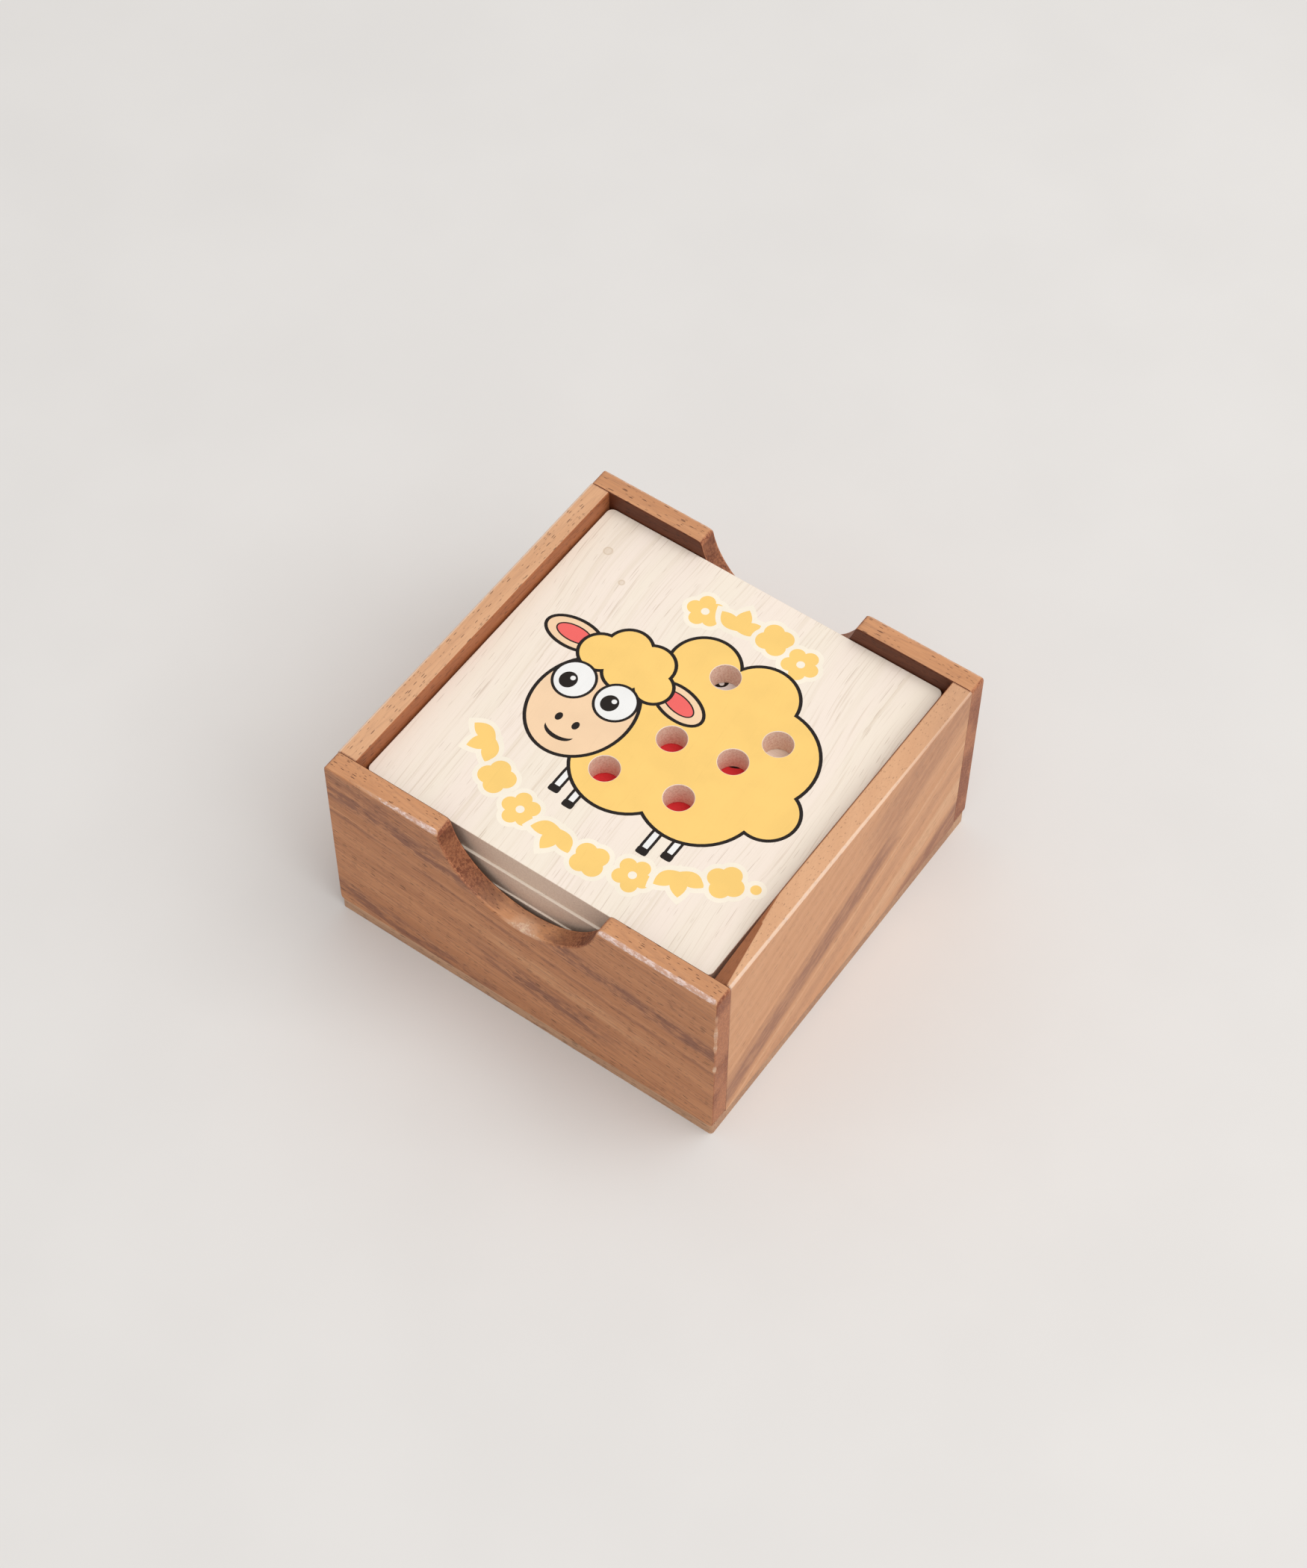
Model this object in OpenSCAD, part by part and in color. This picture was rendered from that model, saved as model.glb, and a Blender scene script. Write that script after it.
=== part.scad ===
// Stacked sheep puzzle: seven square wooden boards with round sight holes, kept in an open
// wooden tray with a finger notch at the front and at the back.
// The origin is the middle of the tray's underside, +Z points up and the front faces -Y.

/* [Tray] */
// Outside width and depth of the tray
tray_w = 100; // [95:1:120]
// Height of the walls above the base panel
wall_h = 50; // [50:1:65]
// Thickness of the walls
wall_t = 5; // [4:0.5:6]
// Bevel along the outer edge of the rim
rim_bevel = 0.9; // [0.3:0.1:1.5]

/* [Base panel] */
// Thickness of the base panel, which the walls stand on
base_t = 3.5; // [2:0.5:6]
// How far the base panel stays behind the walls' outer faces
base_inset = 0.2; // [0:0.1:1]
// Radius of the base panel's corners
base_corner_r = 0.8; // [0.4:0.1:4]

/* [Finger notches] */
// Diameter of the round cutter that makes a notch
notch_d = 41; // [30:1:50]
// Height of the cutter's centre above the rim
notch_rise = 3; // [1:0.5:6]

/* [Planed corner] */
// Width of the flat planed off the right wall's inner rim edge, at the front corner
planed_w = 3.9; // [1:0.1:3.9]
// Depth of that flat at the front corner
planed_depth = 3.3; // [1:0.1:4]
// Length over which the flat runs out to nothing
planed_len = 26; // [10:1:40]

/* [Boards] */
// Thickness of one board
board_t = 6.5; // [5:0.1:7]
// Play between a centred board and the walls, on each side
board_play = 1; // [0.5:0.05:1.5]
// Radius of a board's corners
board_corner_r = 1.6; // [1:0.1:5]
// Diameter of the sight holes
hole_d = 6.7; // [4:0.1:8]
// Turn from one board's hole layout to the next, so that each hole looks onto the board below
layout_turn = 205; // [200:1:210]

/* [Hidden] */
$fn = 96;
over = 1;

// Derived sizes
tray_half = tray_w / 2;
rim_z = base_t + wall_h;
side_wall_len = tray_w - 2 * wall_t;
cavity_half = tray_half - wall_t;
board_w = side_wall_len - 2 * board_play;

// Number of boards in the stack; board 1 is the uppermost
BOARDS = 7;

// Centres of the sight holes in board 1, from the board's own middle
HOLE_LAYOUT = [[3.8, 19.9], [3.8, -0.1], [-3.3, -14.6], [17.7, 2.5], [22.9, 11.8], [13.7, -11.7]];

// Where each board lies in its play, as a share of the play along X and Y
DRIFT = [
    [-0.5, 0.85], [0.2, 0.25], [-0.3, -0.15], [0.4, 0.3],
    [-0.4, 0.1], [0.1, -0.3], [0.3, 0.2]
];

WALL_FACE = [0.69, 0.48, 0.35];
WALL_SIDE = [0.82, 0.61, 0.47];
BASE_WOOD = [0.76, 0.62, 0.47];
BOARD_WOOD = [0.96, 0.91, 0.84];

// A flat square with round corners, centred on the origin
module rounded_square(width, radius) {
    straight = width - 2 * radius;
    square([width, straight], center = true);
    square([straight, width], center = true);
    for (x = [-1, 1], y = [-1, 1])
        translate([x * straight / 2, y * straight / 2]) circle(r = radius);
}

// A wall's cross-section, outer face on the left: thickness along the first axis, height along the second
module wall_section() {
    polygon([
        [0, 0], [wall_t, 0], [wall_t, wall_h],
        [rim_bevel, wall_h], [0, wall_h - rim_bevel]
    ]);
}

// A full-width wall's front view, with bevelled rim ends and the round finger notch
module notched_elevation() {
    difference() {
        polygon([
            [-tray_half, 0], [tray_half, 0], [tray_half, wall_h - rim_bevel],
            [tray_half - rim_bevel, wall_h], [rim_bevel - tray_half, wall_h],
            [-tray_half, wall_h - rim_bevel]
        ]);
        translate([0, wall_h + notch_rise]) circle(d = notch_d);
    }
}

// A full-width wall whose outer face is at -Y
module notched_wall() {
    translate([0, -tray_half, base_t])
        intersection() {
            translate([-tray_half, 0, 0])
                rotate([90, 0, 90]) linear_extrude(tray_w) wall_section();
            translate([0, wall_t, 0])
                rotate([90, 0, 0]) linear_extrude(wall_t) notched_elevation();
        }
}

// A side wall whose outer face is at -X, held between the two notched walls
module side_wall() {
    translate([-tray_half, side_wall_len / 2, base_t])
        rotate([90, 0, 0]) linear_extrude(side_wall_len) wall_section();
}

// The wedge planed off the right wall. At the front corner its slanted face meets the rim planed_w
// from the inner face, and the inner face planed_depth below the rim. It runs out to the back.
module planed_wedge() {
    reach_x = planed_w * (1 + over / planed_len + over / planed_depth);
    reach_y = planed_len * (1 + over / planed_w + over / planed_depth);
    reach_z = planed_depth * (1 + over / planed_w + over / planed_len);
    translate([cavity_half, -cavity_half, rim_z])
        polyhedron(
            points = [
                [-over, -over, over], [reach_x, -over, over],
                [-over, reach_y, over], [-over, -over, -reach_z]
            ],
            faces = [[0, 2, 1], [0, 1, 3], [0, 3, 2], [1, 2, 3]]
        );
}

module base_panel() {
    color(BASE_WOOD)
        linear_extrude(base_t) rounded_square(tray_w - 2 * base_inset, base_corner_r);
}

module front_wall() {
    color(WALL_FACE) notched_wall();
}

module back_wall() {
    color(WALL_FACE) rotate([0, 0, 180]) notched_wall();
}

module left_wall() {
    color(WALL_SIDE) side_wall();
}

module right_wall() {
    color(WALL_SIDE)
        difference() {
            rotate([0, 0, 180]) side_wall();
            planed_wedge();
        }
}

// Board number k from the top, lying in its place in the stack
module puzzle_board(k) {
    shift = board_play * DRIFT[k - 1];
    color(BOARD_WOOD)
        translate([shift[0], shift[1], base_t + (BOARDS - k) * board_t])
            difference() {
                linear_extrude(board_t) rounded_square(board_w, board_corner_r);
                rotate([0, 0, (k - 1) * layout_turn])
                    for (hole = HOLE_LAYOUT)
                        translate([hole[0], hole[1], -over])
                            cylinder(d = hole_d, h = board_t + 2 * over);
            }
}

base_panel();
front_wall();
back_wall();
left_wall();
right_wall();
for (k = [1:BOARDS])
    puzzle_board(k);
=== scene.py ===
"""Looks of the stacked sheep puzzle: a wooden tray, seven printed boards, and a plain studio.

Places and sizes come from the CAD frame. Meshes are built in millimetres and scaled to metres.
"""
import math
from collections import namedtuple

import bmesh
import bpy
from mathutils import Euler, Matrix, Vector, noise
from mathutils.geometry import delaunay_2d_cdt


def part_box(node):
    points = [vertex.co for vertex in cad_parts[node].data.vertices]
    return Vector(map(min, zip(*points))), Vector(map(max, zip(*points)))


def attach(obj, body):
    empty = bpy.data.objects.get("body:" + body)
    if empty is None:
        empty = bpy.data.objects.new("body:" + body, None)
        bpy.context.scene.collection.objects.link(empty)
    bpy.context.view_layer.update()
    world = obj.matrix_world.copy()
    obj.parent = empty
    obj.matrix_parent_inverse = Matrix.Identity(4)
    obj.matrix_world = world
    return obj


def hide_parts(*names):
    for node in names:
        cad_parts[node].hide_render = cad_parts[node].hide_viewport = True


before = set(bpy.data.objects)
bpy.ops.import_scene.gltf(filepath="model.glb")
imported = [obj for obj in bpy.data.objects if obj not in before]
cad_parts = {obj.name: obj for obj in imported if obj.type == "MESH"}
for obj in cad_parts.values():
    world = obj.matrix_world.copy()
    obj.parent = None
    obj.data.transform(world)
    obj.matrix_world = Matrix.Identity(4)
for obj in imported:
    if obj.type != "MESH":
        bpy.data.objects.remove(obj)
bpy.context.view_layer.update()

MM = 0.001
TRAY = "tray"

# Tray, in millimetres. The notch circle and the planed flat repeat the CAD source's own values.
TRAY_HALF = 50.0
STEP = 0.5
NOTCH_RADIUS = 20.5
NOTCH_RISE = 3.0
PLANED_WIDTH = 3.9
PLANED_DEPTH = 3.3
PLANED_LENGTH = 26.0
WORN_EDGE = 0.95
EASED_EDGE = 0.28
JOINT_EDGE = 0.12
WALL_SUPPORT = 0.25
NEAR = 0.4
CORNER_PASSES = 5

# The "worn" value that marks a wall's inner face for painted shade
SHADED_INSIDE = -1.0

# Boards, in millimetres
BOARD_CORNER = 1.6
BOARD_EDGE = 0.14
BOARD_SUPPORT = 0.12
BOARD_CLEARANCE = 0.015
STROKE = 0.8
HALO = 1.1

# Streaks of the wood fade in and out over this length, in millimetres
STREAK_FADE = 8.0

# The two pin knots of board 1, in the row's frame: x, y and radius
BOARD_1_KNOTS = ((-37.6, 34.3, 0.95), (-30.0, 28.8, 0.6))

# Quarter turns of each board's print, and the colour of its fleece, from board 1 down
BOARD_TURNS = (0, -1, 2, 1, 0, -1, 2)
FLEECES = {
    "yellow": (1.0, 0.66, 0.20),
    "red": (0.80, 0.04, 0.05),
    "blue": (0.10, 0.38, 0.72),
    "green": (0.20, 0.50, 0.16),
    "orange": (0.90, 0.27, 0.05),
    "violet": (0.30, 0.17, 0.55),
    "pink": (0.85, 0.30, 0.42),
}


# ---------------------------------------------------------------- node graphs


class Graph:
    """Builds one material. Every method takes sockets or plain values and returns a socket."""

    def __init__(self, name):
        self.material = bpy.data.materials.new(name)
        self.material.use_nodes = True
        self.tree = self.material.node_tree
        self.shader = self.tree.nodes["Principled BSDF"]

    def put(self, node, socket, value):
        if isinstance(value, bpy.types.NodeSocket):
            self.tree.links.new(value, node.inputs[socket])
        else:
            node.inputs[socket].default_value = value

    def node(self, kind, inputs=None, **settings):
        made = self.tree.nodes.new("ShaderNode" + kind)
        for key, value in settings.items():
            setattr(made, key, value)
        for socket, value in (inputs or {}).items():
            self.put(made, socket, value)
        return made

    def math(self, operation, a, b=0.0, clamp=False):
        return self.node("Math", {0: a, 1: b}, operation=operation, use_clamp=clamp).outputs[0]

    def vector_math(self, operation, a, b):
        return self.node("VectorMath", {0: a, 1: b}, operation=operation).outputs[0]

    def smooth(self, value, low, high, start=0.0, end=1.0):
        """start below low, end above high, and a smooth step between them."""
        return self.node(
            "MapRange",
            {"Value": value, "From Min": low, "From Max": high, "To Min": start, "To Max": end},
            interpolation_type="SMOOTHSTEP",
        ).outputs["Result"]

    def colour(self, factor, a, b, blend="MIX"):
        mix = self.node("Mix", data_type="RGBA", blend_type=blend)
        self.put(mix, 0, factor)
        for socket, value in ((6, a), (7, b)):
            self.put(mix, socket, value if isinstance(value, bpy.types.NodeSocket) else rgba(value))
        return mix.outputs[2]

    def noise(self, vector, scale, detail=2.0, roughness=0.5):
        inputs = {"Vector": vector, "Scale": scale, "Detail": detail, "Roughness": roughness}
        return self.node("TexNoise", inputs).outputs["Fac"]

    def stretched_noise(self, vector, along, across, detail, roughness=0.5):
        """Noise with its own frequency along X and another across it, per millimetre."""
        return self.noise(self.mapping(vector, scale=(along, across, across)), 1.0, detail, roughness)

    def line_noise(self, value, scale):
        inputs = {"W": value, "Scale": scale, "Detail": 2.0}
        return self.node("TexNoise", inputs, noise_dimensions="1D").outputs["Fac"]

    def add(self, a, b):
        return self.math("ADD", a, b)

    def less(self, a, b):
        return self.math("SUBTRACT", a, b)

    def times(self, a, b):
        return self.math("MULTIPLY", a, b)

    def mapping(self, vector, location=(0, 0, 0), rotation=(0, 0, 0), scale=(1, 1, 1)):
        inputs = {"Vector": vector, "Location": location, "Rotation": rotation, "Scale": scale}
        return self.node("Mapping", inputs).outputs[0]

    def position_mm(self):
        """The place in the row's frame, in millimetres."""
        place = self.node("TexCoord").outputs["Object"]
        return self.mapping(place, scale=(1 / MM, 1 / MM, 1 / MM))

    def axes(self, vector):
        return self.node("SeparateXYZ", {0: vector}).outputs

    def attribute(self, name):
        return self.node("Attribute", attribute_name=name).outputs["Fac"]

    def end_grain(self, axis):
        """1 where the surface is cut across the grain, 0 along it."""
        normal = self.node("NewGeometry").outputs["Normal"]
        along = self.node("VectorMath", {0: normal, 1: axis}, operation="DOT_PRODUCT")
        return self.math("POWER", self.math("ABSOLUTE", along.outputs["Value"]), 2.0)

    def bump(self, height, strength, distance_mm):
        inputs = {"Height": height, "Strength": strength, "Distance": distance_mm * MM}
        return self.node("Bump", inputs).outputs[0]

    def finish(self, base, roughness, normal):
        self.put(self.shader, "Base Color", base)
        self.put(self.shader, "Roughness", roughness)
        self.put(self.shader, "Normal", normal)
        return self.material


def rgba(colour):
    return (*colour, 1.0)


# ---------------------------------------------------------------- woods


# One band of the figure: its height and half width across the grain, how strong it is, and
# where it starts and ends along the grain, in millimetres
Streak = namedtuple("Streak", "centre width strength start end", defaults=(-200.0, 200.0))

# The colours of one wood: its body, the dark and pale bands in it, its cut ends, its rubbed
# edges, and the painted shade that darkens its inner faces
Wood = namedtuple("Wood", "light middle dark pale end_light end_dark rubbed inside")

# How one wall is cut: the axis that its grain follows, the grain's slant on its face in degrees,
# the place in the plank, its streaks, how far the bands sway in millimetres, and the strength of
# the thin lines between them
Cut = namedtuple("Cut", "axis tilt shift dark_streaks pale_streaks sway fineness", defaults=(9.0, 1.0))

# Splintered edges, on their deep side, and on their fresh side low and high on the wall
TORN_TONE = (0.64, 0.38, 0.28)
FRESH_TONES = ((0.86, 0.64, 0.44), (0.88, 0.70, 0.65))


def grain_space(graph, cut):
    """Millimetre coordinates with X along the grain."""
    if cut.axis == "Y":
        rotation = (math.radians(cut.tilt), 0, math.radians(-90))
    else:
        rotation = (0, math.radians(cut.tilt), 0)
    return graph.mapping(graph.position_mm(), location=cut.shift, rotation=rotation)


def pores(graph, place, length, width, share):
    """1 in the dark open pores: thin dashes along the grain, dots on a cut end."""
    cells = graph.mapping(place, scale=(1 / length, 1 / width, 1 / width))
    dash = graph.node("TexVoronoi", {"Vector": cells, "Scale": 1.0, "Randomness": 1.0})
    kept = graph.axes(dash.outputs["Color"])[0]
    size = graph.smooth(kept, 1 - share, 1.0, 0.0, 0.36)
    return graph.smooth(graph.less(size, dash.outputs["Distance"]), 0.0, 0.10)


def banded(graph, along, across, ragged, streaks):
    """How far the surface lies in any of the streaks, from 0 to 1, with ragged edges."""
    total = 0.0
    for streak in streaks:
        away = graph.math("ABSOLUTE", graph.less(across, streak.centre))
        within = graph.smooth(away, streak.width * 0.35, streak.width, streak.strength, 0.0)
        entered = graph.smooth(along, streak.start - STREAK_FADE, streak.start + STREAK_FADE)
        left = graph.smooth(along, streak.end - STREAK_FADE, streak.end + STREAK_FADE, 1.0, 0.0)
        total = graph.math("MAXIMUM", total, graph.times(graph.times(within, entered), left))
    return graph.times(total, ragged)


def swaying(graph, place, sway):
    """(along, across) the grain in millimetres, with the slow bends of the bands."""
    swing = graph.stretched_noise(place, 0.014, 0.05, 2.0)
    ripple = graph.stretched_noise(place, 0.05, 0.25, 3.0)
    along, depth, height = graph.axes(place)
    moved = graph.times(graph.less(swing, 0.5), sway)
    rippled = graph.times(graph.less(ripple, 0.5), 2.0)
    level = graph.add(height, graph.add(moved, rippled))
    below_face = graph.add(depth, TRAY_HALF)
    return along, graph.add(level, graph.times(below_face, 0.8))


def figured(graph, place, fibre, wood, cut):
    """The colour of the wood along its grain: streaks, lines between them, strands and fibres."""
    fine = cut.fineness
    along, across = swaying(graph, place, cut.sway)
    bands = graph.line_noise(across, 0.22)
    lines = graph.line_noise(across, 1.35)
    strands = graph.stretched_noise(place, 0.045, 1.1, 3.0, 0.6)
    patch = graph.stretched_noise(place, 0.09, 0.42, 3.0, 0.6)
    clots = graph.stretched_noise(place, 0.30, 0.85, 3.0, 0.65)
    uneven = graph.add(graph.times(patch, 0.5), graph.times(clots, 0.5))
    ragged = graph.smooth(uneven, 0.42, 0.56, 0.75 - 0.65 * fine, 1.0)
    layers = (
        (graph.smooth(bands, 0.36, 0.64), wood.middle),
        (banded(graph, along, across, ragged, cut.dark_streaks), wood.dark),
        (banded(graph, along, across, ragged, cut.pale_streaks), wood.pale),
        (graph.smooth(lines, 0.52, 0.72, 0.0, 0.30 * fine), wood.dark),
        (graph.smooth(strands, 0.52, 0.72, 0.0, 0.40 * fine), wood.dark),
        (graph.smooth(strands, 0.28, 0.46, 0.35 * fine, 0.0), wood.pale),
        (graph.smooth(fibre, 0.48, 0.70, 0.0, 0.20 + 0.28 * fine), wood.dark),
    )
    body = wood.light
    for share, tone in layers:
        body = graph.colour(share, body, tone)
    return body


def end_grained(graph, place, body, wood, across_grain, upward):
    """Adds the speckled, cloudy colour of the ends that are cut across the grain."""
    speckle = graph.noise(place, 1.5, 3.0, 0.75)
    cloud = graph.noise(place, 0.10, 2.0)
    mottling = graph.smooth(speckle, 0.42, 0.60, -0.5, 0.5)
    contrast = graph.math("ADD", graph.times(upward, 1.6), 0.35, True)
    mottled = graph.add(graph.times(mottling, contrast), 0.30)
    share = graph.math("ADD", mottled, graph.smooth(cloud, 0.40, 0.62, 0.0, 0.5), True)
    tone = graph.colour(share, wood.end_dark, wood.end_light)
    return graph.colour(graph.smooth(across_grain, 0.05, 0.55, 0.0, 0.92), body, tone)


def weathered(graph, body, wood):
    """Adds rubbed and splintered edges and painted shade on the inside: (colour, bareness, splinters)."""
    worn = graph.attribute("worn")
    torn = graph.noise(graph.mapping(graph.position_mm(), scale=(0.7, 0.7, 2.4)), 1.0, 4.0, 0.78)
    bare = graph.smooth(graph.add(worn, graph.times(torn, 1.5)), 1.16, 1.52)
    body = graph.colour(graph.smooth(worn, 0.05, 0.40, 0.0, 0.60), body, wood.rubbed)
    above = graph.axes(graph.position_mm())[2]
    fresh = graph.colour(graph.smooth(above, 46.0, 50.0), *FRESH_TONES)
    splintered = graph.colour(graph.smooth(torn, 0.44, 0.62), TORN_TONE, fresh)
    body = graph.colour(graph.times(bare, 0.9), body, splintered)
    # Painted shade: the inner faces and their bevels, the planed flat among them, are multiplied by the
    # wood's inside tone
    painted_shade = graph.smooth(worn, -1.0, -0.2, 1.0, 0.0)
    body = graph.colour(painted_shade, body, wood.inside, "MULTIPLY")
    return body, bare, graph.times(graph.times(torn, bare), 1.6)


def hardwood(name, wood, cut):
    """Open-pored brown wood with a figure of dark and pale bands along its grain."""
    graph = Graph(name)
    place = grain_space(graph, cut)
    fibre = graph.stretched_noise(place, 0.16, 3.0, 3.0, 0.65)
    upward = graph.end_grain((0, 0, 1))
    across_grain = graph.end_grain((0, 1, 0) if cut.axis == "Y" else (1, 0, 0))

    body = figured(graph, place, fibre, wood, cut)
    # Painted highlight: faces that look up, such as the rim tops, are made paler
    body = graph.colour(graph.smooth(upward, 0.5, 1.0, 0.0, 0.40), body, wood.pale)
    body = end_grained(graph, place, body, wood, across_grain, upward)

    long_pores = pores(graph, place, 2.6, 0.37, 0.50)
    short_pores = pores(graph, place, 1.5, 0.28, 0.45)
    open_pores = graph.math("MAXIMUM", long_pores, graph.times(short_pores, 0.8))
    dashes = graph.times(open_pores, graph.less(1.0, graph.times(across_grain, 0.4)))
    pore_tone = tuple(0.40 * value for value in wood.dark)
    body = graph.colour(graph.times(dashes, 0.25 + 0.5 * cut.fineness), body, pore_tone)
    body, bare, splinters = weathered(graph, body, wood)

    roughness = graph.smooth(graph.add(fibre, graph.times(bare, 0.5)), 0.3, 1.1, 0.50, 0.80)
    relief = graph.less(graph.times(fibre, 0.4), open_pores)
    graph.put(graph.shader, "Specular IOR Level", 0.3)
    return graph.finish(body, roughness, graph.bump(graph.add(relief, splinters), 0.5, 0.12))


def pale_grain(graph, place):
    """(colour, height) of the boards' pale, fine-grained wood, with X along the grain."""
    drift = graph.stretched_noise(place, 0.010, 0.10, 2.0)
    bands = graph.stretched_noise(place, 0.012, 0.50, 3.0, 0.6)
    hairs = graph.stretched_noise(place, 0.045, 2.6, 2.0, 0.6)
    fibre = graph.stretched_noise(place, 0.14, 5.0, 2.0, 0.6)
    long_dashes = pores(graph, place, 11.0, 0.32, 0.20)
    short_dashes = pores(graph, place, 5.0, 0.26, 0.16)
    dashes = graph.math("MAXIMUM", long_dashes, short_dashes)
    layers = (
        (graph.smooth(drift, 0.35, 0.65), (0.94, 0.825, 0.73)),
        (graph.smooth(bands, 0.50, 0.74, 0.0, 0.60), (0.83, 0.72, 0.59)),
        (graph.smooth(hairs, 0.54, 0.72, 0.0, 0.55), (0.72, 0.60, 0.48)),
        (graph.smooth(fibre, 0.55, 0.80, 0.0, 0.25), (0.66, 0.54, 0.43)),
        (graph.times(dashes, 0.42), (0.50, 0.38, 0.29)),
    )
    body = (0.93, 0.835, 0.715)
    for share, tone in layers:
        body = graph.colour(share, body, tone)
    return body, graph.less(graph.times(fibre, 0.3), graph.times(dashes, 0.5))


def board_space(graph, turns, number):
    """Millimetre coordinates for one board, X along its grain, apart from the other boards'."""
    rotation = (0, 0, math.radians(-94 - 90 * turns))
    location = (31.0 * number, 17.0 * number, 0)
    place = graph.mapping(graph.position_mm(), location=location, rotation=rotation)
    bend = graph.stretched_noise(place, 0.022, 0.022, 1.0)
    push = graph.node("CombineXYZ", {"Y": graph.times(bend, 5.0)}).outputs[0]
    return graph.vector_math("ADD", place, push)


def knots(graph, spots):
    """1 round the small pin knots at spots, in the row's frame in millimetres."""
    x, y, _ = graph.axes(graph.position_mm())
    found = 0.0
    for spot_x, spot_y, radius in spots:
        away_x = graph.math("POWER", graph.less(x, spot_x), 2.0)
        away_y = graph.math("POWER", graph.less(y, spot_y), 2.0)
        away = graph.math("SQRT", graph.add(away_x, away_y))
        ring = graph.smooth(graph.math("ABSOLUTE", graph.less(away, radius)), 0.0, 0.35, 1.0, 0.0)
        filled = graph.smooth(away, radius * 0.7, radius, 0.45, 0.0)
        found = graph.math("MAXIMUM", found, graph.math("MAXIMUM", ring, filled))
    return found


def board_wood(number, turns, spots):
    """A board's bare wood. Sides and hole walls cut across the grain are browner."""
    graph = Graph(f"board_wood_{number}")
    place = board_space(graph, turns, number)
    body, height = pale_grain(graph, place)
    if spots:
        body = graph.colour(graph.times(knots(graph, spots), 0.55), body, (0.60, 0.45, 0.30))
    upward = graph.end_grain((0, 0, 1))
    fuzz = graph.noise(graph.position_mm(), 2.2, 3.0, 0.7)
    sawn = graph.colour(graph.smooth(fuzz, 0.35, 0.7), (0.74, 0.53, 0.40), (0.60, 0.40, 0.29))
    drilled = graph.colour(graph.smooth(fuzz, 0.40, 0.62), (0.93, 0.68, 0.55), (0.74, 0.42, 0.31))
    cut_tone = graph.colour(graph.attribute("bore"), sawn, drilled)
    body = graph.colour(graph.times(graph.less(1.0, upward), 0.75), body, cut_tone)
    roughness = graph.smooth(height, -0.5, 0.4, 0.74, 0.60)
    graph.put(graph.shader, "Specular IOR Level", 0.3)
    return graph.finish(body, roughness, graph.bump(height, 0.30, 0.06))


def ink(name, tone, number, turns):
    """Flat screen-printed colour, with a little of the grain and a few specks showing through."""
    graph = Graph(f"{name}_{number}")
    place = board_space(graph, turns, number)
    fibre = graph.stretched_noise(place, 0.10, 2.4, 3.0, 0.6)
    cloud = graph.noise(graph.position_mm(), 0.12, 3.0)
    specks = graph.noise(graph.position_mm(), 1.7, 2.0, 0.6)
    deep = tuple(0.82 * value for value in tone)
    body = graph.colour(graph.smooth(cloud, 0.35, 0.7, 0.0, 0.25), tone, deep)
    body = graph.colour(graph.smooth(fibre, 0.55, 0.85, 0.0, 0.30), body, deep)
    body = graph.colour(graph.smooth(specks, 0.72, 0.80, 0.0, 0.5), body, deep)
    graph.put(graph.shader, "Specular IOR Level", 0.25)
    roughness = graph.smooth(fibre, 0.3, 0.8, 0.46, 0.62)
    return graph.finish(body, roughness, graph.bump(fibre, 0.12, 0.04))


# ---------------------------------------------------------------- meshes of the tray


def line(start, end, step=STEP):
    """Points from start up to but not including end."""
    start, end = Vector(start), Vector(end)
    count = max(1, round((end - start).length / step))
    return [start.lerp(end, i / count) for i in range(count)]


def round_from(centre, radius, angle):
    """The point of a circle at an angle in radians."""
    return centre[0] + radius * math.cos(angle), centre[1] + radius * math.sin(angle)


def arc(centre, radius, start, end, step=STEP):
    """Points on a circle from start up to but not including end, angles in radians."""
    count = max(3, round(abs(end - start) * radius / step))
    angles = [start + (end - start) * i / count for i in range(count)]
    return [Vector(round_from(centre, radius, angle)) for angle in angles]


def soften(points, passes=CORNER_PASSES):
    """Rounds an outline's corners a little and leaves its straight runs where they are."""
    for _ in range(passes):
        before = points[-1:] + points[:-1]
        after = points[1:] + points[:1]
        points = [(a + 2 * p + b) / 4 for a, p, b in zip(before, points, after)]
    return points


def normals_of(points):
    """Outward normals of an anticlockwise outline, and the sharpest inset that each point takes."""
    normals, limits = [], []
    for i, point in enumerate(points):
        back = point - points[i - 1]
        ahead = points[(i + 1) % len(points)] - point
        tangent = (back + ahead).normalized()
        normals.append(Vector((tangent.y, -tangent.x)))
        turn = back.angle_signed(ahead) * -1
        run = (back.length + ahead.length) / 2
        limits.append(0.8 * run / turn if turn > 1e-4 else 100.0)
    return normals, limits


def even_out(values, passes=2):
    """Smooths the values along a closed outline."""
    for _ in range(passes):
        after = values[1:] + values[:1]
        values = [(values[i - 1] + 2 * value + after[i]) / 4 for i, value in enumerate(values)]
    return values


def rim_profile(inset, drop):
    """(inset, drop) steps from a face over its edge to the side. A wide edge is a flat bevel."""
    wide = max(inset, drop) > 1.5
    roundness = 0.0 if wide else 0.55
    profile = []
    for u in (0.0, 0.04, 0.5, 0.96, 1.0) if wide else (0.0, 0.25, 0.5, 0.75, 1.0):
        turn = u * math.pi / 2
        bevel = Vector((1 - u, u))
        quarter = Vector((1 - math.sin(turn), 1 - math.cos(turn)))
        mixed = bevel.lerp(quarter, roundness)
        profile.append((inset * mixed.x, drop * mixed.y))
    return profile


# The treatment of a plate's edges at one point of its outline: the outer and inner edge's
# (inset, drop), how bare the outer edge is, and how bare the sawn surface is next to it, or,
# below 0, how much painted shade darkens it
Edging = namedtuple("Edging", "outer inner worn torn_in")


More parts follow.
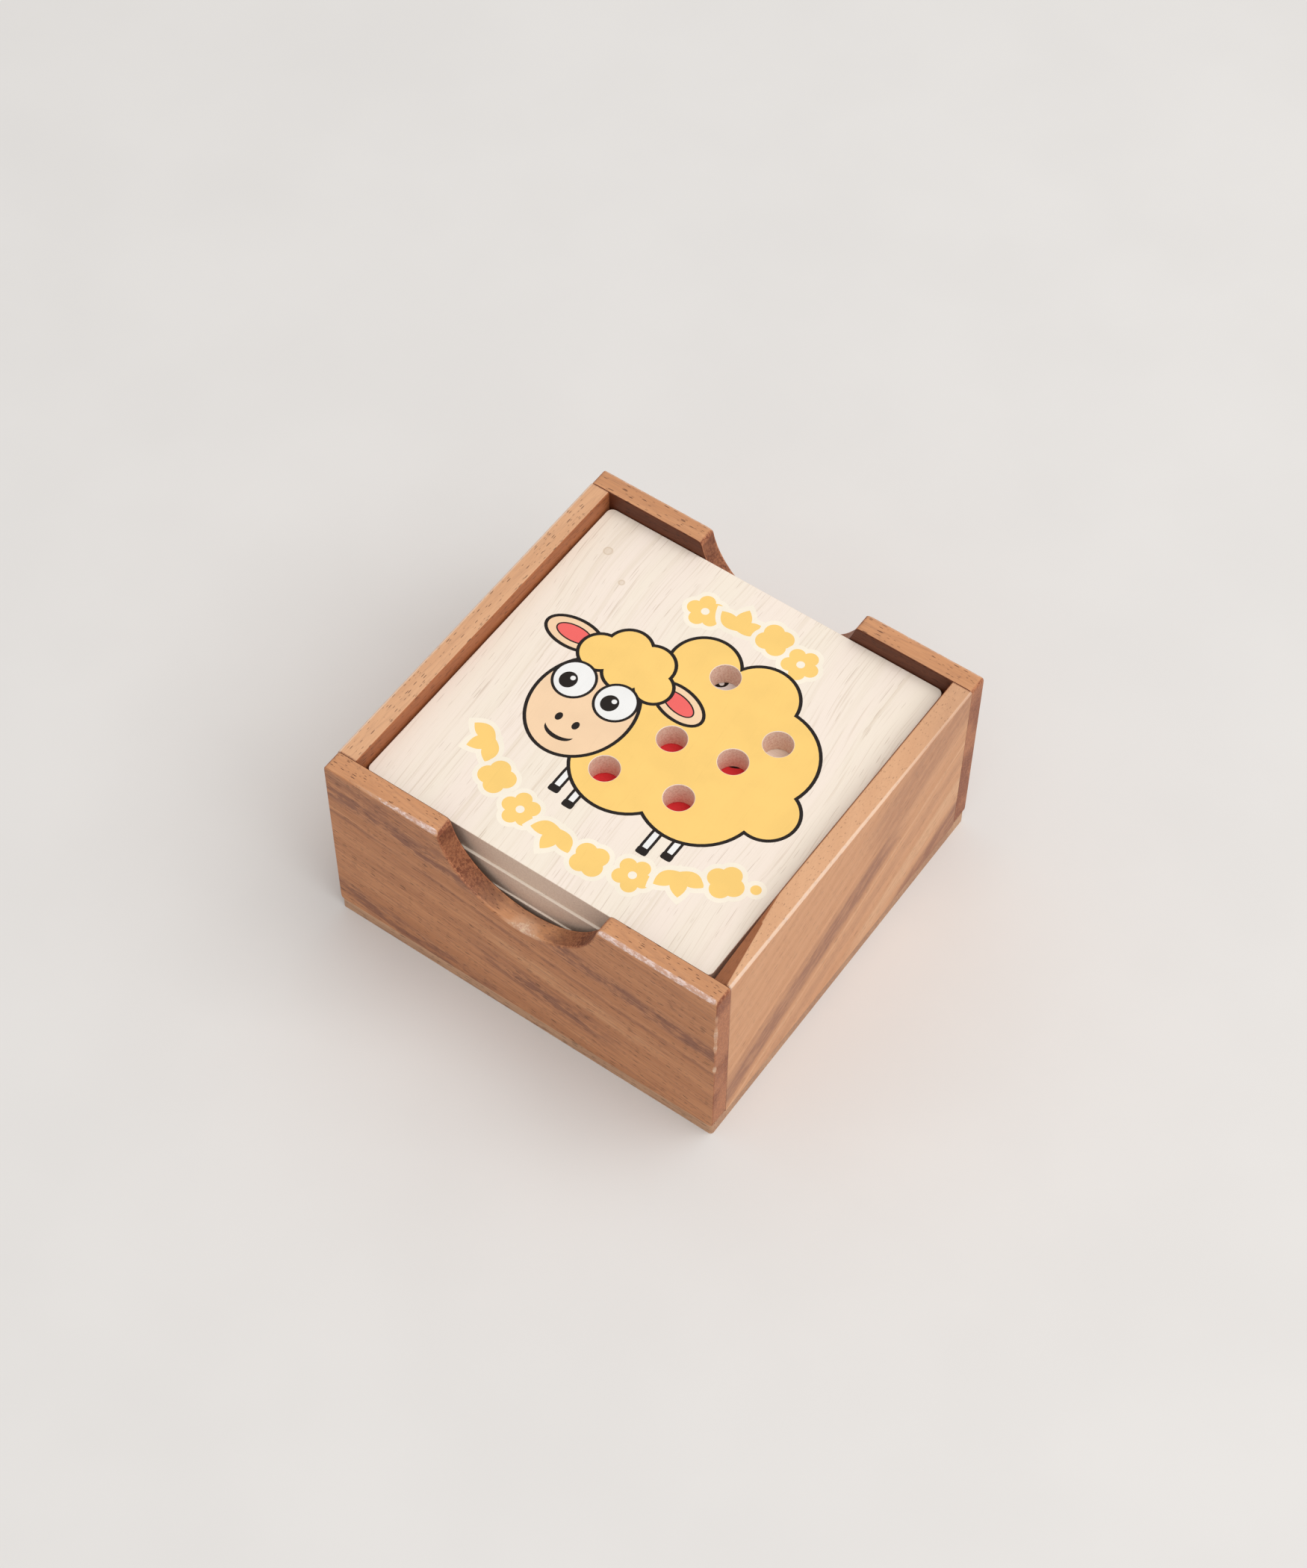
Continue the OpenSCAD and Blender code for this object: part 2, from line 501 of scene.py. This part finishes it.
def edge_column(edging, thick):
    """(inset, depth, "worn") of the points from the outer face over both edges to the inner face."""
    front = rim_profile(*edging.outer)
    back = rim_profile(*edging.inner)
    last = len(back) - 1
    column = [(inset, drop, edging.worn if k else 0.0) for k, (inset, drop) in enumerate(front)]
    column.append((0.0, front[-1][1] + WALL_SUPPORT, edging.torn_in))
    column.append((0.0, thick - back[-1][1] - WALL_SUPPORT, min(edging.torn_in, 0.0)))
    # The inner face and its bevel are marked for painted shade
    inner = [(inset, thick - drop, SHADED_INSIDE if k < last else 0.0) for k, (inset, drop) in enumerate(back)]
    return column + inner[::-1]


def plate(name, points, normals, place, thick, edgings):
    """A plate cut to an outline, with eased edges. Bare edges are a little torn as well.

    place turns (along, up, depth) into millimetres in the row's frame.
    """
    bm = bmesh.new()
    wear = bm.verts.layers.float.new("worn")
    rings = []
    for point, normal, edging in zip(points, normals, edgings):
        ring = []
        for inset, depth, bare in edge_column(edging, thick):
            spot = point - normal * inset
            world = Vector(place(spot.x, spot.y, depth))
            spot -= normal * (max(bare, 0.0) * 0.16 * (0.5 + 0.5 * noise.noise(world * 1.3)))
            vert = bm.verts.new(Vector(place(spot.x, spot.y, depth)) * MM)
            vert[wear] = bare
            ring.append(vert)
        rings.append(ring)
    for ring, following in zip(rings, rings[1:] + rings[:1]):
        for k in range(len(ring) - 1):
            bm.faces.new((ring[k], following[k], following[k + 1], ring[k + 1])).smooth = True
    bm.faces.new([ring[0] for ring in rings])
    bm.faces.new([ring[-1] for ring in rings])
    bmesh.ops.recalc_face_normals(bm, faces=bm.faces)
    return to_object(bm, name)


def to_object(bm, name):
    """Puts a finished mesh into the scene."""
    mesh = bpy.data.meshes.new(name)
    bm.to_mesh(mesh)
    bm.free()
    made = bpy.data.objects.new(name, mesh)
    bpy.context.scene.collection.objects.link(made)
    return made


def notched_outline(half, height):
    """A full-width wall seen from outside: a rectangle with the round finger notch in its rim."""
    reach = math.sqrt(NOTCH_RADIUS**2 - NOTCH_RISE**2)
    lift = math.asin(NOTCH_RISE / NOTCH_RADIUS)
    points = line((-half, 0), (half, 0)) + line((half, 0), (half, height))
    points += line((half, height), (reach, height))
    points += arc((0, height + NOTCH_RISE), NOTCH_RADIUS, -lift, lift - math.pi)
    points += line((-reach, height), (-half, height)) + line((-half, height), (-half, 0))
    return soften(points)


def slow_noise(a, b, seed):
    """Slow noise from 0 to 1 along an edge."""
    return 0.5 + 0.5 * noise.noise(Vector((a, b, seed)))


def rubbed_width(bare, along, across, seed):
    """The width of a rim's edge, from eased to worn, a little uneven along it."""
    uneven = 0.6 + 0.5 * slow_noise(along * 0.8, across, seed)
    return EASED_EDGE + (WORN_EDGE - EASED_EDGE) * bare * uneven


def chips(down):
    """How splintered an upright corner is at a distance below the rim, from 0 to 1."""
    spots = ((6.0, 1.5, 0.55), (12.5, 3.2, 0.95), (17.5, 1.3, 1.0), (26.0, 1.2, 0.9))
    return max(depth * math.exp(-(((down - centre) / reach) ** 2)) for centre, reach, depth in spots)


def part_of_outline(point, half, height):
    """The part of a notched wall's outline that a point lies on."""
    if abs(point.x) > half - NEAR and point.y > 1.0:
        return "end"
    if point.y > height - NEAR:
        return "rim"
    if abs(point.x) < NOTCH_RADIUS - NEAR and point.y > 1.0:
        return "notch"
    return "foot" if point.y < NEAR else "plain"


def outer_wear(point, part, height, side, rubbed):
    """(width, bareness) of a notched wall's outer edge at a point."""
    if part == "rim":
        bare = rubbed(point.x * -side)
        return rubbed_width(bare, point.x, 0, 7.7), bare
    if part == "notch":
        chipped = math.exp(-(((point.x - 1.0) / 4.5) ** 2))
        width = 0.20 + (0.25 + 0.7 * chipped) * slow_noise(point.x * 0.9, point.y, 1.3)
        return width, 0.75 * chipped
    if part == "end" and side < 0 < point.x:
        chip = chips(height - point.y) * (0.35 + 1.1 * slow_noise(point.y * 2.3, 0, 3.3))
        return 0.24 + 0.5 * chip, 0.9 * chip
    return (JOINT_EDGE if part == "foot" else EASED_EDGE), 0.0


def notched_wall(name, side, rubbed):
    """The front wall (side -1) or back wall (side 1). rubbed(along) says how worn its rim is."""
    low, high = (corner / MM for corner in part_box(name))
    half, height, thick = (high.x - low.x) / 2, high.z - low.z, high.y - low.y
    points = notched_outline(half, height)
    normals, limits = normals_of(points)
    outer, inner, worn, torn_in = [], [], [], []
    for point, limit in zip(points, limits):
        part = part_of_outline(point, half, height)
        width, bare = outer_wear(point, part, height, side, rubbed)
        outer.append(min(width, limit))
        inner.append(min(JOINT_EDGE if part == "end" else EASED_EDGE, limit))
        worn.append(bare)
        # In the notch the sawn face is bare at the chipped middle and gets painted shade towards the flanks
        torn_in.append(1.85 * bare - 0.55 if part == "notch" else 0.0)
    rows = zip(even_out(outer), inner, even_out(worn), torn_in)
    edgings = [Edging((a, a), (b, b), bare, torn) for a, b, bare, torn in rows]
    face = low.y if side < 0 else high.y

    def place(along, up, depth):
        return (along * -side, face - side * depth, low.z + up)

    return plate(name + "_wood", points, normals, place, thick, edgings)


def side_wall(name, side, rubbed, planed=False):
    """The left wall (side -1) or right wall (side 1), butted between the notched walls."""
    low, high = (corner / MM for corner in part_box(name))
    length, height, thick = high.y - low.y, high.z - low.z, high.x - low.x
    foot = [Vector((0, 0)), Vector((length, 0))]
    rim = line((length, height), (0, height)) + [Vector((0, height))]
    normals = [Vector((0, -1))] * len(foot) + [Vector((0, 1))] * len(rim)
    edgings = [Edging((JOINT_EDGE, JOINT_EDGE), (JOINT_EDGE, JOINT_EDGE), 0.0, 0.0) for _ in foot]
    for point in rim:
        bare = rubbed(point.x + low.y)
        width = rubbed_width(bare, point.x, side, 5.2)
        left = max(0.0, 1 - point.x / PLANED_LENGTH) if planed else 0.0
        inner = (max(EASED_EDGE, PLANED_DEPTH * left), max(EASED_EDGE, PLANED_WIDTH * left))
        edgings.append(Edging((width, width), inner, bare, 0.0))
    face = high.x if side > 0 else low.x

    def place(along, up, depth):
        return (face - side * depth, low.y + along, low.z + up)

    return plate(name + "_wood", foot + rim, normals, place, thick, edgings)


# ---------------------------------------------------------------- the print


def ellipse(x, y, rx, ry, turn=0.0, grow=0.0, count=40):
    """An ellipse's outline, turned by degrees, and grown on every side."""
    c, s = math.cos(math.radians(turn)), math.sin(math.radians(turn))
    outline = []
    for i in range(count):
        a = 2 * math.pi * i / count
        u, v = (rx + grow) * math.cos(a), (ry + grow) * math.sin(a)
        outline.append((x + u * c - v * s, y + u * s + v * c))
    return outline


def leaf(x, y, length, width, turn, grow=0.0):
    """A leaf pointed at both ends: two arcs of a circle."""
    half, bulge = length / 2 + grow * 1.6, width / 2 + grow
    outline = []
    for side in (1, -1):
        for i in range(12):
            u = -1 + 2 * i / 12
            outline.append((side * u * half, -side * bulge * (1 - u * u)))
    spin = Matrix.Rotation(math.radians(turn), 2)
    return [tuple(Vector((x, y)) + spin @ Vector(p)) for p in outline]


def rounded_bar(x, y, width, height, grow=0.0):
    """An upright bar with softly rounded corners."""
    half_w, half_h = width / 2 + grow, height / 2 + grow
    outline = []
    for i in range(24):
        a = 2 * math.pi * (i + 0.5) / 24
        c, s = math.cos(a), math.sin(a)
        right = math.copysign(abs(c) ** 0.45, c)
        up = math.copysign(abs(s) ** 0.45, s)
        outline.append((x + half_w * right, y + half_h * up))
    return outline


def outlined(tone, shapes):
    """Two layers: the dark stroke round the shapes, and their fill. shapes(grow) gives outlines."""
    return [("outline", shapes(STROKE)), (tone, shapes(0.0))]


def fleece(grow):
    """The sheep's body: six round tufts round a filled middle."""
    tufts = (
        (-1.4, 19.4, 7.7), (13.1, 19.2, 8.4), (20.8, 6.5, 13.3),
        (31.0, -4.1, 6.6), (16.6, -7.8, 13.1), (0.2, -10.8, 12.3),
    )
    filled = [ellipse(11.0, 3.0, 18.0, 17.0)]
    return filled + [ellipse(x, y, r, r, grow=grow, count=56) for x, y, r in tufts]


def forelock(grow):
    """Five round tufts on top of the head."""
    tufts = (
        (-22.0, 9.8, 4.6), (-17.4, 14.0, 4.9), (-11.0, 13.2, 5.0),
        (-7.2, 8.6, 4.0), (-14.6, 8.4, 4.6),
    )
    return [ellipse(x, y, r, r, grow=grow) for x, y, r in tufts]


def legs():
    """Four short white legs with dark hooves."""
    layers = []
    for x, y in ((-8.9, -21.6), (-4.2, -23.2), (15.2, -23.8), (20.2, -22.0)):
        layers += outlined("white", lambda grow, x=x, y=y: [rounded_bar(x, y, 1.3, 6.4, grow * 0.8)])
        layers.append(("outline", [rounded_bar(x, y - 3.2, 2.7, 1.9)]))
    return layers


def ears():
    """Two ears with coral insides."""
    layers = []
    for x, y, turn in ((-29.6, 10.6, 2), (-0.4, 8.2, -14)):
        layers += outlined("face", lambda grow, x=x, y=y, t=turn: [ellipse(x, y, 6.6, 3.5, t, grow)])
        layers.append(("outline", [ellipse(x, y, 4.2, 1.9, turn, 0.35)]))
        layers.append(("coral", [ellipse(x, y, 4.2, 1.9, turn)]))
    return layers


def eyes():
    """Two round eyes, each with a glint."""
    layers = []
    for x in (-22.3, -11.4):
        layers += outlined("white", lambda grow, x=x: [ellipse(x, 0.6, 4.4, 4.6, grow=grow * 0.8)])
        layers.append(("outline", [ellipse(x - 1.0, -0.2, 2.0, 2.2)]))
        layers.append(("white", [ellipse(x - 0.4, 0.7, 0.6, 0.6, count=16)]))
    return layers


def smile():
    """A dark oval with its upper part covered, and two nostrils."""
    return [
        ("outline", [ellipse(-16.9, -12.2, 3.6, 2.3, count=32)]),
        ("face", [ellipse(-16.9, -11.2, 4.0, 2.3, count=32)]),
        ("outline", [ellipse(x, -9.2, 0.8, 1.1, count=16) for x in (-19.2, -14.8)]),
    ]


def sheep():
    """Layers of a plain sheep that faces left, from the bottom up: (tone, outlines)."""
    layers = legs() + outlined("fleece", fleece) + ears()
    layers += outlined("face", lambda grow: [ellipse(-16.6, -4.2, 11.2, 13.4, grow=grow, count=64)])
    return layers + outlined("fleece", forelock) + eyes() + smile()


def tufted(spots, radius):
    """(halo, fill) outlines of round spots that touch."""
    halo = [ellipse(x, y, radius, radius, grow=HALO, count=24) for x, y in spots]
    return halo, [ellipse(x, y, radius, radius, count=24) for x, y in spots]


def flower(x, y, turn):
    """Five round petals with a pale middle."""
    spots = [round_from((x, y), 2.5, math.radians(turn + 72 * i)) for i in range(5)]
    halo, petals = tufted(spots, 1.85)
    petals.append(ellipse(x, y, 1.7, 1.7, count=16))
    return [("halo", halo), ("motif", petals), ("halo", [ellipse(x, y, 0.95, 0.95, count=16)])]


def sprig(x, y, turn):
    """Three leaves that spread from one point."""
    halo, leaves = [], []
    root = round_from((x, y), -2.6, math.radians(turn))
    for spread in (-58, 0, 58):
        spot = round_from(root, 3.0, math.radians(turn + spread))
        halo.append(leaf(*spot, 6.4, 3.7, turn + spread, HALO))
        leaves.append(leaf(*spot, 6.4, 3.7, turn + spread))
    return [("halo", halo), ("motif", leaves)]


def puff(x, y, turn):
    """A small wool puff of four tufts."""
    spots = [round_from((x, y), 2.0, math.radians(turn + 45 + 90 * i)) for i in range(4)]
    halo, tufts = tufted(spots, 2.3)
    return [("halo", halo), ("motif", tufts)]


def garland(centre, radius, start, end, count, first):
    """Motifs in turn along an arc, from one angle to the other in degrees."""
    kinds = (flower, sprig, puff)
    layers = []
    for i in range(count):
        angle = start + (end - start) * i / (count - 1)
        spot = round_from(centre, radius, math.radians(angle))
        layers += kinds[(i + first) % len(kinds)](*spot, angle)
    return layers


def print_layers():
    """Everything printed on a board, from the bottom up, upright as on board 1."""
    layers = garland(centre=(2.5, 2.6), radius=32.0, start=113, end=67, count=4, first=0)
    layers += garland(centre=(2.4, 11.4), radius=46.8, start=229, end=312, count=8, first=1)
    halo, dot = tufted([(39.8, -21.3)], 1.2)
    return layers + [("halo", halo), ("motif", dot)] + sheep()


# ---------------------------------------------------------------- meshes of the boards


def box_of(outline):
    """(low x, low y, high x, high y) of a list of points."""
    xs, ys = [p[0] for p in outline], [p[1] for p in outline]
    return min(xs), min(ys), max(xs), max(ys)


def sight_holes(node):
    """(centre, radius) in millimetres of each round hole, read from the CAD board's upper face."""
    low, high = (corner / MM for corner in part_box(node))
    apart = 2.0
    rims = []
    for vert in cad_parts[node].data.vertices:
        spot = vert.co / MM
        clear = min(spot.x - low.x, high.x - spot.x, spot.y - low.y, high.y - spot.y)
        if spot.z < high.z - 0.01 or clear < apart + BOARD_CORNER:
            continue
        near = [rim for rim in rims if any((spot.xy - other).length < apart for other in rim)]
        merged = [spot.xy] + [other for rim in near for other in rim]
        rims = [rim for rim in rims if rim not in near] + [merged]
    holes = []
    for left, front, right, back in map(box_of, rims):
        holes.append((Vector(((left + right) / 2, (front + back) / 2)), (right - left) / 2))
    return sorted(holes, key=lambda hole: (hole[0].x, hole[0].y))


class Board:
    """A board's place and size in millimetres, read from its CAD node."""

    def __init__(self, node):
        low, high = (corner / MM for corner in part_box(node))
        self.middle = ((low + high) / 2).xy
        self.half = (high.x - low.x) / 2
        self.top = high.z - BOARD_CLEARANCE
        self.bottom = low.z + BOARD_CLEARANCE
        self.holes = [(centre - self.middle, radius) for centre, radius in sight_holes(node)]

    def at(self, point, height):
        """A point given from the board's middle, in metres in the row's frame."""
        return Vector((point.x + self.middle.x, point.y + self.middle.y, height)) * MM

    def outward(self, point):
        """The direction out of the board at a point on its edge or on a hole's rim."""
        for centre, radius in self.holes:
            if (point - centre).length < radius + 2 * BOARD_EDGE:
                return (centre - point).normalized()
        straight = self.half - BOARD_CORNER
        nearest = Vector((max(-straight, min(straight, v)) for v in point))
        return (point - nearest).normalized()

    def is_drilled(self, point):
        """True on a hole's rim, False on the board's edge."""
        return max(abs(point.x), abs(point.y)) < self.half - 2 * BOARD_EDGE

    def side_steps(self):
        """(reach, height) down a side, from the upper face's eased edge to the underside's."""
        steps = [(math.sin(u), 1 - math.cos(u)) for u in (math.pi / 6, math.pi / 3, math.pi / 2)]
        spots = [(reach, self.top - BOARD_EDGE * drop) for reach, drop in steps]
        spots.append((1.0, self.top - BOARD_EDGE - BOARD_SUPPORT))
        spots.append((1.0, self.bottom + BOARD_EDGE + BOARD_SUPPORT))
        return spots + [(reach, self.bottom + BOARD_EDGE * drop) for reach, drop in reversed(steps)]


def rounded_square(half, radius):
    """An anticlockwise square outline with round corners, centred on the origin."""
    straight = half - radius
    points = []
    for quarter, (sx, sy) in enumerate(((1, 1), (-1, 1), (-1, -1), (1, -1))):
        centre = (sx * straight, sy * straight)
        start = quarter * math.pi / 2
        points += arc(centre, radius, start, start + math.pi / 2, 0.35)
        points.append(Vector(round_from(centre, radius, start + math.pi / 2)))
    return points


def inside(point, outline, box):
    """True if a point lies in a closed outline, whose box is (low x, low y, high x, high y)."""
    x, y = point[0], point[1]
    if not (box[0] <= x <= box[2] and box[1] <= y <= box[3]):
        return False
    found = False
    ax, ay = outline[-1]
    for bx, by in outline:
        if (ay > y) != (by > y) and x < ax + (y - ay) * (bx - ax) / (by - ay):
            found = not found
        ax, ay = bx, by
    return found


class TopFace:
    """A board's upper face, divided into triangles along its print, with a tone for each."""

    def __init__(self, board, turns):
        spin = Matrix.Rotation(math.radians(90 * turns), 2)
        edge = rounded_square(board.half - BOARD_EDGE, BOARD_CORNER - BOARD_EDGE)
        rims = [ellipse(c.x, c.y, r, r, grow=BOARD_EDGE, count=64) for c, r in board.holes]
        self.edge = (edge, box_of(edge))
        self.rims = [(rim, box_of(rim)) for rim in rims]
        self.layers = []
        for tone, outlines in print_layers():
            turned = [[tuple(spin @ Vector(p)) for p in outline] for outline in outlines]
            self.layers.append((tone, [(outline, box_of(outline)) for outline in turned]))
        self.divide([edge, *rims] + [outline for _, shapes in self.layers for outline, _ in shapes])

    def divide(self, loops):
        """Cuts the face along closed loops, and keeps the triangles that are board."""
        points, edges = [], []
        for loop in loops:
            first = len(points)
            points += [Vector(p) for p in loop]
            edges += [(first + i, first + (i + 1) % len(loop)) for i in range(len(loop))]
        result = delaunay_2d_cdt(points, edges, [], 0, 1e-5, False)
        self.points = result[0]
        self.triangles = []
        for triangle in result[2]:
            middle = sum((self.points[i] for i in triangle), Vector((0, 0))) / 3
            if self.is_board(middle):
                self.triangles.append((triangle, self.tone_at(middle)))

    def is_board(self, point):
        return inside(point, *self.edge) and not any(inside(point, *rim) for rim in self.rims)

    def tone_at(self, point):
        for tone, shapes in reversed(self.layers):
            if any(inside(point, outline, box) for outline, box in shapes):
                return tone
        return "wood"

    def border(self):
        """The directed edges that only one triangle has."""
        pairs = [pair for (a, b, c), _ in self.triangles for pair in ((a, b), (b, c), (c, a))]
        known = set(pairs)
        return [(a, b) for a, b in pairs if (b, a) not in known]


def add_sides(bm, board, face, upper, lower):
    """Joins the upper and lower faces by the board's sides and hole walls, with eased edges."""
    bore = bm.verts.layers.float["bore"]
    border = face.border()
    columns = {}
    for i in {i for pair in border for i in pair}:
        point = face.points[i]
        out = board.outward(point) * BOARD_EDGE
        sides = [bm.verts.new(board.at(point + out * reach, z)) for reach, z in board.side_steps()]
        for vert in sides:
            vert[bore] = float(board.is_drilled(point))
        columns[i] = [upper[i], *sides, lower[i]]
    for a, b in border:
        for k in range(len(columns[a]) - 1):
            corners = (columns[b][k], columns[a][k], columns[a][k + 1], columns[b][k + 1])
            bm.faces.new(corners).smooth = True


def board_mesh(name, node, turns, tones):
    """One board as a closed mesh: printed upper face, eased edges, hole walls and plain underside."""
    board = Board(node)
    face = TopFace(board, turns)
    bm = bmesh.new()
    bm.verts.layers.float.new("bore")
    used = sorted({i for triangle, _ in face.triangles for i in triangle})
    upper = {i: bm.verts.new(board.at(face.points[i], board.top)) for i in used}
    lower = {i: bm.verts.new(board.at(face.points[i], board.bottom)) for i in used}
    for triangle, tone in face.triangles:
        bm.faces.new([upper[i] for i in triangle]).material_index = tones.index(tone)
        bm.faces.new([lower[i] for i in reversed(triangle)])
    add_sides(bm, board, face, upper, lower)
    bmesh.ops.recalc_face_normals(bm, faces=bm.faces)
    return to_object(bm, name)


# ---------------------------------------------------------------- assembly


def show(piece, body, node):
    """Puts a finished piece in a CAD node's place."""
    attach(piece, body)
    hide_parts(node)


def add_wall(wall, node, wood, cut):
    """Gives a finished wall its wood, and puts it in its CAD node's place."""
    wall.data.materials.append(hardwood(node.replace("wall", "wood"), wood, cut))
    show(wall, TRAY, node)


def brown_walls():
    """The front and back walls. The front's streaks lie where the photograph shows them."""
    wood = Wood(
        light=(0.62, 0.276, 0.125), middle=(0.53, 0.224, 0.098), dark=(0.25, 0.10, 0.062),
        pale=(0.70, 0.37, 0.19), end_light=(0.52, 0.21, 0.10), end_dark=(0.20, 0.052, 0.026),
        # inside is painted shade, multiplied over the inner faces
        rubbed=(0.72, 0.42, 0.26), inside=(0.22, 0.13, 0.10),
    )
    front = notched_wall("front_wall", -1, lambda x: 1.0 if x > 0 else max(0.0, min(1.0, (x + 46) / 22)))
    add_wall(front, "front_wall", wood, Cut(
        "X", -7.0, (0, 0, 0),
        [Streak(39.2, 3.8, 0.85), Streak(42.0, 7.0, 0.55, end=-14.0), Streak(2.4, 4.6, 0.8, end=-8.0),
         Streak(16.6, 4.6, 0.85, -12.0, 20.0), Streak(31.5, 1.2, 0.4)],
        [Streak(25.0, 3.5, 0.55, -12.0, 30.0)], sway=4.0))
    back = notched_wall("back_wall", 1, lambda x: 0.45)
    add_wall(back, "back_wall", wood, Cut(
        "X", 3.0, (310, 40, 25),
        [Streak(45.0, 5.0, 0.8), Streak(66.0, 3.5, 0.7), Streak(58.0, 1.5, 0.5)],
        [Streak(52.0, 2.5, 0.5)]))


def tan_walls():
    """The left and right walls. The right's streaks lie where the photograph shows them."""
    wood = Wood(
        light=(0.72, 0.378, 0.202), middle=(0.67, 0.336, 0.173), dark=(0.36, 0.165, 0.10),
        pale=(0.79, 0.48, 0.28), end_light=(0.60, 0.30, 0.17), end_dark=(0.36, 0.14, 0.075),
        # inside is painted shade, multiplied over the inner faces
        rubbed=(0.95, 0.74, 0.58), inside=(0.58, 0.38, 0.27),
    )
    left = side_wall("left_wall", -1, lambda y: 0.4)
    add_wall(left, "left_wall", wood, Cut(
        "Y", 4.0, (150, 90, -40),
        [Streak(-20.0, 4.5, 0.8), Streak(-5.0, 2.0, 0.6), Streak(5.0, 3.0, 0.7)],
        [Streak(-12.0, 2.5, 0.5)]))
    right = side_wall("right_wall", 1, lambda y: max(0.22, min(0.42, 0.40 - y / 160)), planed=True)
    add_wall(right, "right_wall", wood, Cut(
        "Y", -20.0, (0, 0, 0),
        [Streak(25.0, 5.8, 0.95, end=28.0), Streak(-7.6, 7.6, 1.0, start=16.0), Streak(13.5, 3.5, 0.25),
         Streak(34.0, 12.0, 0.50, start=22.0), Streak(30.4, 1.5, 0.35, end=10.0)],
        [Streak(3.4, 4.6, 0.75, start=4.0), Streak(18.4, 0.8, 0.6)], sway=4.0, fineness=0.2))


def finish_base():
    """The base panel keeps its CAD mesh, with eased edges and lighter wood."""
    wood = Wood(
        light=(0.66, 0.40, 0.24), middle=(0.56, 0.32, 0.185), dark=(0.28, 0.13, 0.08),
        pale=(0.74, 0.49, 0.31), end_light=(0.62, 0.37, 0.22), end_dark=(0.40, 0.20, 0.12),
        rubbed=(0.74, 0.49, 0.31), inside=(1.0, 1.0, 1.0),
    )
    cut = Cut("X", 0.0, (77, 13, 9), [Streak(10.0, 2.0, 0.5, 60.0, 90.0)], [Streak(12.0, 1.5, 0.4)])
    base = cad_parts["base_panel"]
    base.data.materials.clear()
    base.data.materials.append(hardwood("base_wood", wood, cut))
    eased = base.modifiers.new("eased_edges", "BEVEL")
    eased.width = 0.35 * MM
    eased.segments = 3
    eased.limit_method = "ANGLE"
    eased.angle_limit = math.radians(40)


def board_tones(number, turns, fleece_name):
    """{tone: material} for one board, in the order of its material slots."""
    fleece_tone = FLEECES[fleece_name]
    return {
        "wood": board_wood(number, turns, BOARD_1_KNOTS if number == 1 else ()),
        "outline": ink("ink_dark", (0.014, 0.009, 0.007), number, turns),
        "fleece": ink("ink_" + fleece_name, fleece_tone, number, turns),
        "motif": ink("ink_motif_" + fleece_name, fleece_tone, number, turns),
        "halo": ink("ink_cream", (0.98, 0.90, 0.76), number, turns),
        "white": ink("ink_white", (0.92, 0.92, 0.91), number, turns),
        "face": ink("ink_peach", (0.95, 0.68, 0.44), number, turns),
        "coral": ink("ink_coral", (0.93, 0.15, 0.14), number, turns),
    }


def build_boards():
    """The seven printed boards."""
    for number, (turns, fleece_name) in enumerate(zip(BOARD_TURNS, FLEECES), start=1):
        node = f"puzzle_board_{number}"
        tones = board_tones(number, turns, fleece_name)
        board = board_mesh(node + "_printed", node, turns, list(tones))
        for material in tones.values():
            board.data.materials.append(material)
        show(board, f"board_{number}", node)


# ---------------------------------------------------------------- studio


def build_floor():
    """A wide pale floor with a faint mottling."""
    bm = bmesh.new()
    bmesh.ops.create_grid(bm, x_segments=4, y_segments=4, size=3.0)
    floor = to_object(bm, "studio_floor")
    graph = Graph("studio_paper")
    cloud = graph.noise(graph.position_mm(), 0.02, 3.0)
    tone = graph.colour(graph.smooth(cloud, 0.3, 0.7), (0.79, 0.775, 0.76), (0.77, 0.755, 0.74))
    floor.data.materials.append(graph.finish(tone, 0.85, graph.bump(cloud, 0.05, 0.1)))


def aim_at(looker, target, azimuth, elevation, distance, roll=0.0):
    """Puts a light or camera at a distance from a point, looking at it. Angles are in degrees."""
    turn = Euler((math.radians(90 - elevation), 0, math.radians(azimuth))).to_matrix().to_4x4()
    tilt = Matrix.Rotation(math.radians(roll), 4, "Z")
    back_off = Matrix.Translation((0, 0, distance))
    looker.matrix_world = Matrix.Translation(target) @ turn @ tilt @ back_off
    bpy.context.scene.collection.objects.link(looker)


def area_light(name, azimuth, elevation, distance, size, power, tone):
    """A square soft light that looks at the middle of the object."""
    data = bpy.data.lights.new(name, "AREA")
    data.size = size
    data.energy = power
    data.color = tone
    lamp = bpy.data.objects.new(name, data)
    aim_at(lamp, (0, 0, 0.03), azimuth, elevation, distance)


def build_lights():
    """A big soft key from the right and a pale surround."""
    area_light("key", azimuth=100, elevation=62, distance=2.0, size=2.2, power=28.0, tone=(1.0, 0.985, 0.965))
    world = bpy.data.worlds.new("surround")
    world.use_nodes = True
    background = world.node_tree.nodes["Background"]
    background.inputs["Color"].default_value = (1.0, 0.99, 0.98, 1.0)
    background.inputs["Strength"].default_value = 0.575
    bpy.context.scene.world = world
    bpy.context.scene.view_settings.view_transform = "Standard"


def build_camera():
    """The photograph's view: from the front right and well above."""
    data = bpy.data.cameras.new("camera")
    data.sensor_width = 36.0
    data.lens = 73.7
    data.clip_start = 0.02
    camera = bpy.data.objects.new("camera", data)
    target = (0.0086, -0.0135, 0.0533)
    aim_at(camera, target, azimuth=34.98, elevation=55.06, distance=0.6673, roll=0.49)
    bpy.context.scene.camera = camera


build_camera()
brown_walls()
tan_walls()
finish_base()
build_boards()
build_floor()
build_lights()
